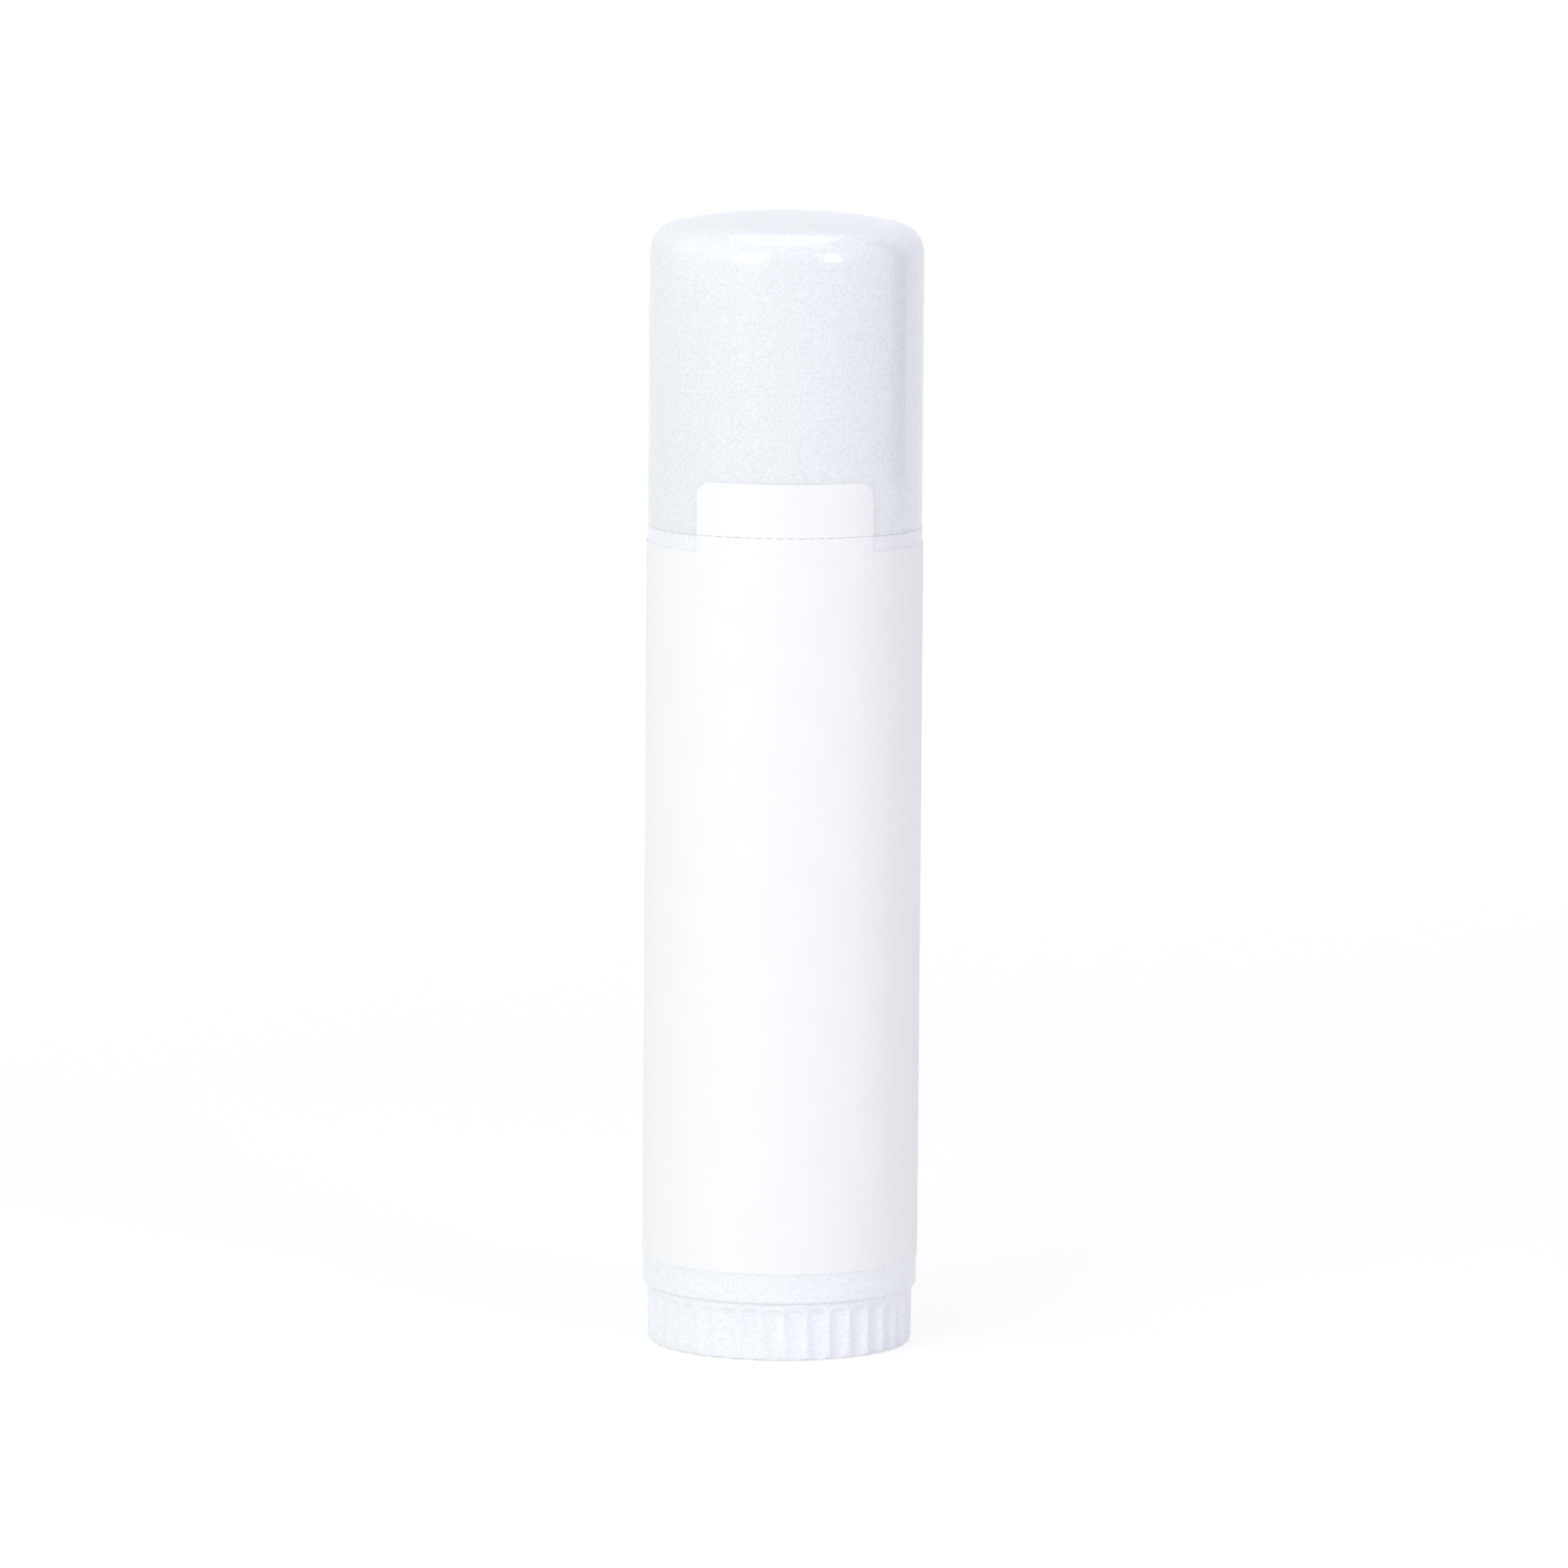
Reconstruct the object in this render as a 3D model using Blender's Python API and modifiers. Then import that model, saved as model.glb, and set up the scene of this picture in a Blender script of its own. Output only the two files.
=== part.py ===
"""Twist-up sunscreen stick in a round tube: cap, barrel, dial screw, carrier, stick, label and tamper tab.

Units are metres. +Z runs up the tube's axis, the origin is the centre of the face that it stands on,
and -Y is the front, where the label's tab lies over the seam between cap and barrel.
"""

import math

import bmesh
import bpy
from mathutils import Matrix, Vector

MM = 0.001
FULL_TURN = 2 * math.pi
FRONT = -math.pi / 2
SEGMENTS = 48
MERGE_DISTANCE = 0.0001 * MM
SHARP_ANGLE = math.radians(30)

# Radii, from the bore outwards: every piece around the bore follows these.
BORE_RADIUS = 6.0 * MM
NECK_WALL = 0.95 * MM
NECK_BEAD = 0.10 * MM
CAP_CLEARANCE = 0.20 * MM
CAP_WALL = 0.75 * MM

# Heights, from the standing face upwards.
DIAL_HEIGHT = 3.28 * MM
DIAL_GAP = 0.08 * MM
PLUG_HEIGHT = 4.0 * MM
BODY_HEIGHT = 44.69 * MM
NECK_HEIGHT = 9.40 * MM
STICK_PROUD = 0.85 * MM
CAP_HEADROOM = 6.93 * MM
CAP_ROOF = 1.10 * MM

# Barrel details.
SHOULDER_EDGE = 0.06 * MM
FOOT_CHAMFER = 0.18 * MM
MOUTH_BEVEL = 0.20 * MM
BEAD_HALF_WIDTH = 0.35 * MM
BEAD_ABOVE_SHOULDER = 3.2 * MM
KEY_COUNT = 4
KEY_WIDTH = 0.9 * MM
KEY_HEIGHT = 0.35 * MM
KEY_SETBACK = 1.6 * MM
KEY_ROOT = 0.5 * MM
KEY_CLEARANCE = 0.10 * MM

# Snap fit between the dial's plug and the barrel's socket.
SOCKET_LEDGE = 0.60 * MM
SOCKET_LEAD_IN = 0.25 * MM
SOCKET_HEADROOM = 0.15 * MM
PLUG_CLEARANCE = 0.10 * MM
SNAP_DEPTH = 0.35 * MM
SNAP_HALF_WIDTH = 0.60 * MM
SNAP_SLOPE = 0.20 * MM
SNAP_CLEARANCE = 0.12 * MM
PLUG_WALL = 1.00 * MM
BOSS_RADIUS = 2.40 * MM

# Dial details.
DIAL_STEP = 0.25 * MM
DIAL_DRAFT = 0.05 * MM
DIAL_TOP_EDGE = 0.08 * MM
DIAL_FOOT_EDGE = 0.25 * MM
COLLAR_HEIGHT = 0.26 * MM
FLUTE_COUNT = 36
FLUTE_DEPTH = 0.25 * MM
FLUTE_LAND = 0.12 * MM
FLUTE_PHASE = math.radians(2)
FLUTE_STEPS = 5
BASE_RIM = 1.35 * MM
BASE_RECESS = 1.60 * MM
GATE_RADIUS = 1.1 * MM
GATE_HEIGHT = 0.35 * MM

# Screw and nut: a single left-hand thread, so turning the dial to the right from below lifts the stick.
SPINDLE_ROOT = 1.45 * MM
THREAD_DEPTH = 0.65 * MM
THREAD_PITCH = 3.0 * MM
THREAD_STEPS = 14
RIDGE_ROOT_HALF = 0.60 * MM
RIDGE_CREST_HALF = 0.35 * MM
RIDGE_EMBED = 0.35 * MM
THREAD_RUN_OUT = 1.1 * MM
TIP_SETBACK = 2.4 * MM
TIP_CHAMFER = 0.5 * MM
THREAD_CLEARANCE = 0.20 * MM
LUG_CLEARANCE = 0.25 * MM
LUG_ARC = math.radians(70)
LUG_STEPS = 5
LUG_HEIGHT = 2.3 * MM

# Carrier details.
CARRIER_LIFT = 0.25 * MM
SLIDE_CLEARANCE = 0.08 * MM
CUP_WALL = 0.80 * MM
CUP_HEIGHT = 6.5 * MM
CUP_FLOOR = 0.90 * MM
HUB_WALL = 0.80 * MM
HUB_SETBACK = 0.60 * MM

# Stick of sunscreen, moulded in the barrel round the screw.
WAX_CLEARANCE = 0.05 * MM
TIP_RELIEF = 0.60 * MM
STICK_SHOULDER = 1.3 * MM
STICK_SHOULDER_STEPS = 4
STICK_CROWN_RADIUS = 14.0 * MM
STICK_CROWN_STEPS = 3

# Cap details.
CAP_SEAM = 0.06 * MM
CAP_FILLET = 1.80 * MM
CAP_FILLET_STEPS = 6
CAP_CROWN_RADIUS = 33.0 * MM
CAP_CROWN_STEPS = 3
CEILING_FILLET_STEPS = 3
CEILING_CROWN_STEPS = 2
CAP_EDGE = 0.06 * MM
CAP_LEAD_IN = 0.30 * MM
GRIP_COUNT = 6
GRIP_WIDTH = 0.7 * MM
GRIP_CLEARANCE = 0.05 * MM
GRIP_SETBACK = 1.2 * MM
GRIP_LENGTH = 5.0 * MM

# Label and its tab.
LABEL_GAP = 0.01 * MM
LABEL_THICKNESS = 0.05 * MM
LABEL_FOOT_MARGIN = 1.79 * MM
LABEL_TOP_MARGIN = 0.92 * MM
LABEL_OVERLAP = math.radians(24)
LABEL_RAMP = math.radians(9)
LABEL_STEP = math.radians(3)
TAB_WIDTH = 10.20 * MM
TAB_RISE = 3.10 * MM
TAB_CORNER = 0.84 * MM
TAB_CORNER_STEPS = 5
TAB_SETBACK = 0.02 * MM

# How far a cutter or a joined piece runs past the face that it goes through.
OVERRUN = 1.0 * MM

NECK_RADIUS = BORE_RADIUS + NECK_WALL
CAP_BORE = NECK_RADIUS + NECK_BEAD + CAP_CLEARANCE
BARREL_RADIUS = CAP_BORE + CAP_WALL
SOCKET_RADIUS = BORE_RADIUS + SOCKET_LEDGE
DIAL_RADIUS = BARREL_RADIUS - DIAL_STEP
THREAD_CREST = SPINDLE_ROOT + THREAD_DEPTH
FLANK_SLOPE = (RIDGE_ROOT_HALF - RIDGE_CREST_HALF) / THREAD_DEPTH
HUB_BORE = THREAD_CREST + THREAD_CLEARANCE
HUB_RADIUS = HUB_BORE + HUB_WALL
CARRIER_RADIUS = BORE_RADIUS - SLIDE_CLEARANCE
CUP_BORE = CARRIER_RADIUS - CUP_WALL
STICK_RADIUS = BORE_RADIUS - WAX_CLEARANCE
LABEL_RADIUS = BARREL_RADIUS + LABEL_GAP

BARREL_FOOT = DIAL_HEIGHT + DIAL_GAP
PLUG_TOP = DIAL_HEIGHT + PLUG_HEIGHT
SOCKET_TOP = PLUG_TOP + SOCKET_HEADROOM
SNAP_LEVEL = (BARREL_FOOT + PLUG_TOP) / 2
SHOULDER = BARREL_FOOT + BODY_HEIGHT
MOUTH = SHOULDER + NECK_HEIGHT
SPINDLE_TOP = MOUTH - TIP_SETBACK
CARRIER_FOOT = PLUG_TOP + CARRIER_LIFT
CUP_RIM = CARRIER_FOOT + CUP_HEIGHT
HUB_TOP = CUP_RIM - HUB_SETBACK
STICK_TOP = MOUTH + STICK_PROUD
CAP_RIM = SHOULDER + CAP_SEAM
CAP_TOP = STICK_TOP + CAP_HEADROOM + CAP_ROOF
LABEL_FOOT = BARREL_FOOT + LABEL_FOOT_MARGIN
LABEL_TOP = SHOULDER - LABEL_TOP_MARGIN

THREAD_START = PLUG_TOP + THREAD_RUN_OUT
THREAD_TURNS = (SPINDLE_TOP - THREAD_RUN_OUT - THREAD_START) / THREAD_PITCH
LUG_LEVEL = CARRIER_FOOT + LUG_HEIGHT
# The ridge starts at the angle that puts its groove at the lug's level on the +X side.
THREAD_PHASE = FULL_TURN * ((LUG_LEVEL - THREAD_START) / THREAD_PITCH - 0.5)


def clear_scene():
    for obj in list(bpy.data.objects):
        bpy.data.objects.remove(obj, do_unlink=True)


def new_collection(name):
    collection = bpy.data.collections.new(name)
    bpy.context.scene.collection.children.link(collection)
    return collection


def make_material(name, colour, roughness, subsurface=0.0):
    material = bpy.data.materials.new(name)
    material.use_nodes = True
    shader = material.node_tree.nodes["Principled BSDF"]
    shader.inputs["Base Color"].default_value = (*colour, 1.0)
    shader.inputs["Roughness"].default_value = roughness
    shader.inputs["Metallic"].default_value = 0.0
    shader.inputs["Subsurface Weight"].default_value = subsurface
    material.diffuse_color = (*colour, 1.0)
    return material


def object_from(bm, name, collection):
    mesh = bpy.data.meshes.new(name)
    bm.to_mesh(mesh)
    bm.free()
    obj = bpy.data.objects.new(name, mesh)
    collection.objects.link(obj)
    return obj


def arc(radius_at, level_at, radius, start, end, steps):
    """Profile points (radius, level) on an arc, its angles measured from the +R direction towards +Z."""
    points = []
    for step in range(steps + 1):
        angle = start + (end - start) * step / steps
        points.append((radius_at + radius * math.cos(angle), level_at + radius * math.sin(angle)))
    return points


def domed_end(top, radius, fillet, crown_radius, fillet_steps, crown_steps):
    """Profile from the axis at the top out to the wall: a crown arc that runs into a rounded shoulder."""
    drop = math.sqrt((crown_radius - fillet) ** 2 - (radius - fillet) ** 2)
    meeting = math.atan2(drop, radius - fillet)
    crown_level = top - crown_radius
    fillet_level = crown_level + drop
    crown = arc(0, crown_level, crown_radius, math.pi / 2, meeting, crown_steps)
    shoulder = arc(radius - fillet, fillet_level, fillet, meeting, 0, fillet_steps)
    return [(0, top)] + crown[1:-1] + shoulder


def turned(name, profile, collection, closed=True, segments=SEGMENTS):
    """A solid of revolution about Z from a profile that runs down its outer side.

    A profile that isn't closed starts and ends on the axis.
    """
    bm = bmesh.new()
    verts = [bm.verts.new((radius, 0, level)) for radius, level in profile]
    for first, second in zip(verts, verts[1:]):
        bm.edges.new((first, second))
    if closed:
        bm.edges.new((verts[-1], verts[0]))
    obj = object_from(bm, name, collection)
    screw = obj.modifiers.new("Screw", "SCREW")
    screw.axis = "Z"
    screw.angle = FULL_TURN
    screw.steps = segments
    screw.render_steps = segments
    screw.use_merge_vertices = True
    screw.merge_threshold = MERGE_DISTANCE
    return obj


def helix(name, section, phase, level, turn_angle, steps, collection):
    """A ridge of the given section (radius, height) swept up a left-hand helix, from its phase and level."""
    bm = bmesh.new()
    face = bm.faces.new([bm.verts.new((radius, 0, level + height)) for radius, height in section])
    bmesh.ops.rotate(bm, verts=bm.verts, cent=(0, 0, 0), matrix=Matrix.Rotation(phase, 3, "Z"))
    rise = THREAD_PITCH * turn_angle / FULL_TURN / steps
    bmesh.ops.spin(
        bm,
        geom=list(bm.verts) + list(bm.edges) + [face],
        cent=(0, 0, 0),
        axis=(0, 0, 1),
        dvec=(0, 0, rise),
        angle=-turn_angle,
        steps=steps,
    )
    bmesh.ops.recalc_face_normals(bm, faces=bm.faces)
    return object_from(bm, name, collection)


def radial_bars(name, count, width, inner, outer, low, high, collection):
    """Upright bars round the axis, between two radii and two levels, the first at half a pitch from +X."""
    bm = bmesh.new()
    for index in range(count):
        turn = Matrix.Rotation(FULL_TURN * (index + 0.5) / count, 4, "Z")
        place = Matrix.Translation(((inner + outer) / 2, 0, (low + high) / 2))
        size = Matrix.Diagonal((outer - inner, width, high - low, 1))
        bmesh.ops.create_cube(bm, size=1, matrix=turn @ place @ size)
    return object_from(bm, name, collection)


def flat_plate(name, outlines, low, high, collection):
    """A plate between two levels from closed outlines in X and Y; an inner outline is a hole."""
    curve = bpy.data.curves.new(name, "CURVE")
    curve.dimensions = "2D"
    curve.fill_mode = "BOTH"
    curve.extrude = (high - low) / 2
    for outline in outlines:
        spline = curve.splines.new("POLY")
        spline.points.add(len(outline) - 1)
        for point, (x, y) in zip(spline.points, outline):
            point.co = (x, y, 0, 1)
        spline.use_cyclic_u = True
    drawn = bpy.data.objects.new(name + "_outline", curve)
    drawn.location.z = (low + high) / 2
    return mesh_from_curve(drawn, name, collection)


def mesh_from_curve(drawn, name, collection):
    """The curve object as a closed mesh object, its caps welded and its place baked in."""
    bpy.context.scene.collection.objects.link(drawn)
    graph = bpy.context.evaluated_depsgraph_get()
    mesh = bpy.data.meshes.new_from_object(drawn.evaluated_get(graph))
    bm = bmesh.new()
    bm.from_mesh(mesh)
    bmesh.ops.transform(bm, verts=bm.verts, matrix=drawn.matrix_world)
    bmesh.ops.remove_doubles(bm, verts=bm.verts, dist=MERGE_DISTANCE)
    bmesh.ops.recalc_face_normals(bm, faces=bm.faces)
    bpy.data.meshes.remove(mesh)
    bpy.data.objects.remove(drawn)
    return object_from(bm, name, collection)


def boolean(obj, tool, operation):
    """Adds a Boolean of the named operation to obj, and keeps the tool out of the render."""
    modifier = obj.modifiers.new(operation.title(), "BOOLEAN")
    modifier.operation = operation
    modifier.solver = "EXACT"
    modifier.object = tool
    tool.hide_render = True
    tool.display_type = "WIRE"


def finish(obj, material):
    """Applies the modifiers, shades the round faces smooth and gives the object its material."""
    graph = bpy.context.evaluated_depsgraph_get()
    mesh = bpy.data.meshes.new_from_object(obj.evaluated_get(graph))
    obj.modifiers.clear()
    obj.data = mesh
    mesh.name = obj.name
    mesh.shade_smooth()
    mesh.set_sharp_from_angle(angle=SHARP_ANGLE)
    mesh.materials.clear()
    mesh.materials.append(material)
    return obj


def circle(radius, steps=SEGMENTS):
    return [
        (radius * math.cos(FULL_TURN * step / steps), radius * math.sin(FULL_TURN * step / steps))
        for step in range(steps)
    ]


def snap_ring(wall, depth, half_width):
    """Profile points of a ring that stands depth out of a wall at the snap's level, from its top down."""
    return [
        (wall, SNAP_LEVEL + half_width),
        (wall + depth, SNAP_LEVEL + half_width - SNAP_SLOPE),
        (wall + depth, SNAP_LEVEL - half_width + SNAP_SLOPE),
        (wall, SNAP_LEVEL - half_width),
    ]


def make_barrel(parts, tools):
    bead_level = SHOULDER + BEAD_ABOVE_SHOULDER
    outside = [
        (NECK_RADIUS - MOUTH_BEVEL, MOUTH),
        (NECK_RADIUS, MOUTH - MOUTH_BEVEL),
        (NECK_RADIUS, bead_level + BEAD_HALF_WIDTH),
        (NECK_RADIUS + NECK_BEAD, bead_level),
        (NECK_RADIUS, bead_level - BEAD_HALF_WIDTH),
        (NECK_RADIUS, SHOULDER),
        (BARREL_RADIUS - SHOULDER_EDGE, SHOULDER),
        (BARREL_RADIUS, SHOULDER - SHOULDER_EDGE),
        (BARREL_RADIUS, BARREL_FOOT + FOOT_CHAMFER),
        (BARREL_RADIUS - FOOT_CHAMFER, BARREL_FOOT),
    ]
    socket = [
        (SOCKET_RADIUS + SOCKET_LEAD_IN, BARREL_FOOT),
        (SOCKET_RADIUS, BARREL_FOOT + SOCKET_LEAD_IN),
        *reversed(snap_ring(SOCKET_RADIUS, SNAP_DEPTH, SNAP_HALF_WIDTH)),
        (SOCKET_RADIUS, SOCKET_TOP),
    ]
    bore = [
        (BORE_RADIUS, SOCKET_TOP),
        (BORE_RADIUS, MOUTH - MOUTH_BEVEL),
        (BORE_RADIUS + MOUTH_BEVEL, MOUTH),
    ]
    barrel = turned("barrel", outside + socket + bore, parts)
    keys = radial_bars(
        "barrel_keys",
        KEY_COUNT,
        KEY_WIDTH,
        BORE_RADIUS - KEY_HEIGHT,
        BORE_RADIUS + KEY_ROOT,
        SOCKET_TOP,
        MOUTH - KEY_SETBACK,
        tools,
    )
    boolean(barrel, keys, "UNION")
    return barrel


def key_slots(name, low, high, tools):
    """Cutter for the grooves that let a piece slide past the barrel's keys."""
    return radial_bars(
        name,
        KEY_COUNT,
        KEY_WIDTH + 2 * KEY_CLEARANCE,
        BORE_RADIUS - KEY_HEIGHT - KEY_CLEARANCE,
        BORE_RADIUS + OVERRUN,
        low,
        high,
        tools,
    )


def flute_outline():
    """Scalloped outline whose arcs cut the flutes, meeting in cusps just outside the dial."""
    half_pitch = math.pi / FLUTE_COUNT
    half_width = DIAL_RADIUS * half_pitch - FLUTE_LAND / 2
    radius = (half_width**2 + FLUTE_DEPTH**2) / (2 * FLUTE_DEPTH)
    centre = DIAL_RADIUS - FLUTE_DEPTH + radius
    # Where two neighbouring arcs meet, on the ray half a pitch from each flute's middle.
    cusp = centre * math.cos(half_pitch) - math.sqrt(radius**2 - (centre * math.sin(half_pitch)) ** 2)
    swing = math.atan2(cusp * math.sin(half_pitch), centre - cusp * math.cos(half_pitch))
    outline = []
    for index in range(FLUTE_COUNT):
        middle = FRONT + FLUTE_PHASE + (2 * index + 1) * half_pitch
        for step in range(FLUTE_STEPS):
            across = swing * (2 * step / FLUTE_STEPS - 1)
            along = Vector((centre - radius * math.cos(across), radius * math.sin(across)))
            turned_point = Matrix.Rotation(middle, 2) @ along
            outline.append((turned_point.x, turned_point.y))
    return outline


def make_dial_screw(parts, tools):
    plug_radius = SOCKET_RADIUS - PLUG_CLEARANCE
    snap_half = SNAP_HALF_WIDTH - SNAP_CLEARANCE
    foot_radius = DIAL_RADIUS - DIAL_DRAFT
    recess_radius = foot_radius - BASE_RIM
    core = [
        (0, SPINDLE_TOP),
        (SPINDLE_ROOT - TIP_CHAMFER, SPINDLE_TOP),
        (SPINDLE_ROOT, SPINDLE_TOP - TIP_CHAMFER),
        (SPINDLE_ROOT, PLUG_TOP - OVERRUN),
        (0, PLUG_TOP - OVERRUN),
    ]
    plug = [
        (0, PLUG_TOP),
        (BOSS_RADIUS, PLUG_TOP),
        (BOSS_RADIUS, DIAL_HEIGHT),
        (plug_radius - PLUG_WALL, DIAL_HEIGHT),
        (plug_radius - PLUG_WALL, PLUG_TOP),
        (plug_radius - SOCKET_LEAD_IN, PLUG_TOP),
        (plug_radius, PLUG_TOP - SOCKET_LEAD_IN),
        *snap_ring(plug_radius, SNAP_DEPTH - SNAP_CLEARANCE, snap_half),
        (plug_radius, DIAL_HEIGHT),
    ]
    wheel = [
        (DIAL_RADIUS - DIAL_TOP_EDGE, DIAL_HEIGHT),
        (DIAL_RADIUS, DIAL_HEIGHT - DIAL_TOP_EDGE),
        (foot_radius, DIAL_FOOT_EDGE),
        (foot_radius - DIAL_FOOT_EDGE, 0),
        (recess_radius, 0),
        (recess_radius, BASE_RECESS),
        (GATE_RADIUS, BASE_RECESS),
        (GATE_RADIUS, BASE_RECESS - GATE_HEIGHT),
        (0, BASE_RECESS - GATE_HEIGHT),
    ]
    dial_screw = turned("dial_screw", plug + wheel, parts, closed=False)
    spindle = turned("spindle_core", core, tools, closed=False, segments=THREAD_STEPS)
    spindle.rotation_euler.z = THREAD_PHASE
    ridge_base = SPINDLE_ROOT - RIDGE_EMBED
    base_half = RIDGE_ROOT_HALF + RIDGE_EMBED * FLANK_SLOPE
    ridge = [
        (ridge_base, -base_half),
        (THREAD_CREST, -RIDGE_CREST_HALF),
        (THREAD_CREST, RIDGE_CREST_HALF),
        (ridge_base, base_half),
    ]
    thread = helix(
        "thread_ridge",
        ridge,
        THREAD_PHASE,
        THREAD_START,
        FULL_TURN * THREAD_TURNS,
        round(THREAD_TURNS * THREAD_STEPS),
        tools,
    )
    flutes = flat_plate(
        "flute_ring",
        [circle(DIAL_RADIUS + OVERRUN), flute_outline()],
        -OVERRUN,
        DIAL_HEIGHT - COLLAR_HEIGHT,
        tools,
    )
    boolean(dial_screw, spindle, "UNION")
    boolean(dial_screw, thread, "UNION")
    boolean(dial_screw, flutes, "DIFFERENCE")
    return dial_screw


def make_carrier(parts, tools):
    cup = [
        (CARRIER_RADIUS, CUP_RIM),
        (CARRIER_RADIUS, CARRIER_FOOT),
        (HUB_BORE, CARRIER_FOOT),
        (HUB_BORE, HUB_TOP),
        (HUB_RADIUS, HUB_TOP),
        (HUB_RADIUS, CARRIER_FOOT + CUP_FLOOR),
        (CUP_BORE, CARRIER_FOOT + CUP_FLOOR),
        (CUP_BORE, CUP_RIM),
    ]
    carrier = turned("carrier", cup, parts)
    # A lug fills the groove between two ridges, less its clearance on each flank and at the root.
    lug_tip = SPINDLE_ROOT + THREAD_CLEARANCE
    lug_root = HUB_BORE + HUB_WALL / 2
    groove_half = THREAD_PITCH / 2 - RIDGE_ROOT_HALF - LUG_CLEARANCE
    tip_half = groove_half + (lug_tip - SPINDLE_ROOT) * FLANK_SLOPE
    root_half = groove_half + (lug_root - SPINDLE_ROOT) * FLANK_SLOPE
    section = [(lug_tip, -tip_half), (lug_root, -root_half), (lug_root, root_half), (lug_tip, tip_half)]
    for side, angle in enumerate((0, math.pi)):
        rise = THREAD_PITCH * LUG_ARC / FULL_TURN
        level = LUG_LEVEL + side * THREAD_PITCH / 2 - rise / 2
        lug = helix(f"nut_lug_{side}", section, angle + LUG_ARC / 2, level, LUG_ARC, LUG_STEPS, tools)
        boolean(carrier, lug, "UNION")
    slots = key_slots("carrier_slots", CARRIER_FOOT - OVERRUN, CUP_RIM + OVERRUN, tools)
    boolean(carrier, slots, "DIFFERENCE")
    return carrier


def make_stick(parts, tools):
    dome = domed_end(
        STICK_TOP,
        STICK_RADIUS,
        STICK_SHOULDER,
        STICK_CROWN_RADIUS,
        STICK_SHOULDER_STEPS,
        STICK_CROWN_STEPS,
    )
    foot = CARRIER_FOOT + CUP_FLOOR + WAX_CLEARANCE
    screw_bore = THREAD_CREST + THREAD_CLEARANCE
    outside = dome + [
        (STICK_RADIUS, CUP_RIM + WAX_CLEARANCE),
        (CUP_BORE - WAX_CLEARANCE, CUP_RIM + WAX_CLEARANCE),
        (CUP_BORE - WAX_CLEARANCE, foot),
    ]
    inside = [
        (HUB_RADIUS + WAX_CLEARANCE, foot),
        (HUB_RADIUS + WAX_CLEARANCE, HUB_TOP + WAX_CLEARANCE),
        (screw_bore, HUB_TOP + WAX_CLEARANCE),
        (screw_bore, SPINDLE_TOP + TIP_RELIEF),
        (0, SPINDLE_TOP + TIP_RELIEF),
    ]
    stick = turned("sunscreen_stick", outside + inside, parts, closed=False)
    slots = key_slots("stick_slots", CUP_RIM - OVERRUN, MOUTH - KEY_SETBACK + KEY_CLEARANCE, tools)
    boolean(stick, slots, "DIFFERENCE")
    return stick


def make_cap(parts, tools):
    dome = domed_end(
        CAP_TOP,
        BARREL_RADIUS,
        CAP_FILLET,
        CAP_CROWN_RADIUS,
        CAP_FILLET_STEPS,
        CAP_CROWN_STEPS,
    )
    ceiling = domed_end(
        CAP_TOP - CAP_ROOF,
        CAP_BORE,
        CAP_FILLET - CAP_WALL,
        CAP_CROWN_RADIUS - CAP_ROOF,
        CEILING_FILLET_STEPS,
        CEILING_CROWN_STEPS,
    )
    rim = [
        (BARREL_RADIUS, CAP_RIM + CAP_EDGE),
        (BARREL_RADIUS - CAP_EDGE, CAP_RIM),
        (CAP_BORE + CAP_LEAD_IN, CAP_RIM),
        (CAP_BORE, CAP_RIM + CAP_LEAD_IN),
    ]
    cap = turned("cap", dome + rim + ceiling[::-1], parts, closed=False)
    grips = radial_bars(
        "cap_grips",
        GRIP_COUNT,
        GRIP_WIDTH,
        NECK_RADIUS + NECK_BEAD + GRIP_CLEARANCE,
        CAP_BORE + CAP_WALL / 2,
        CAP_RIM + GRIP_SETBACK,
        CAP_RIM + GRIP_SETBACK + GRIP_LENGTH,
        tools,
    )
    boolean(cap, grips, "UNION")
    return cap


def wrap_outline(radius):
    """Plan of the label's film: once round from the back, then up a ramp and on over its own start."""
    step_up = LABEL_THICKNESS + LABEL_GAP
    start = FRONT - math.pi
    end = start + FULL_TURN + LABEL_OVERLAP
    steps = round((end - start) / LABEL_STEP)
    inner = []
    outer = []
    for step in range(steps + 1):
        angle = start + (end - start) * step / steps
        lifted = min(1, max(0, (angle - start - FULL_TURN + LABEL_RAMP + LABEL_STEP) / LABEL_RAMP))
        lift = radius + step_up * lifted * lifted * (3 - 2 * lifted)
        inner.append((lift * math.cos(angle), lift * math.sin(angle)))
        lift += LABEL_THICKNESS
        outer.append((lift * math.cos(angle), lift * math.sin(angle)))
    return outer + inner[::-1]


def tab_block(name, low, high, rounded, tools):
    """A block in front of the tube, as wide as the tab, with its upper corners rounded if asked."""
    half = TAB_WIDTH / 2
    outline = [(-half, low), (half, low)]
    if rounded:
        for corner, start in ((half - TAB_CORNER, 0), (TAB_CORNER - half, math.pi / 2)):
            outline += arc(
                corner, high - TAB_CORNER, TAB_CORNER, start, start + math.pi / 2, TAB_CORNER_STEPS
            )
    else:
        outline += [(half, high), (-half, high)]
    block = flat_plate(name, [outline], 0, LABEL_RADIUS + OVERRUN, tools)
    # The plate is drawn flat: this stands it up, so that its Y becomes Z and it reaches out to the front.
    block.data.transform(Matrix.Rotation(math.pi / 2, 4, "X"))
    return block


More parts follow.
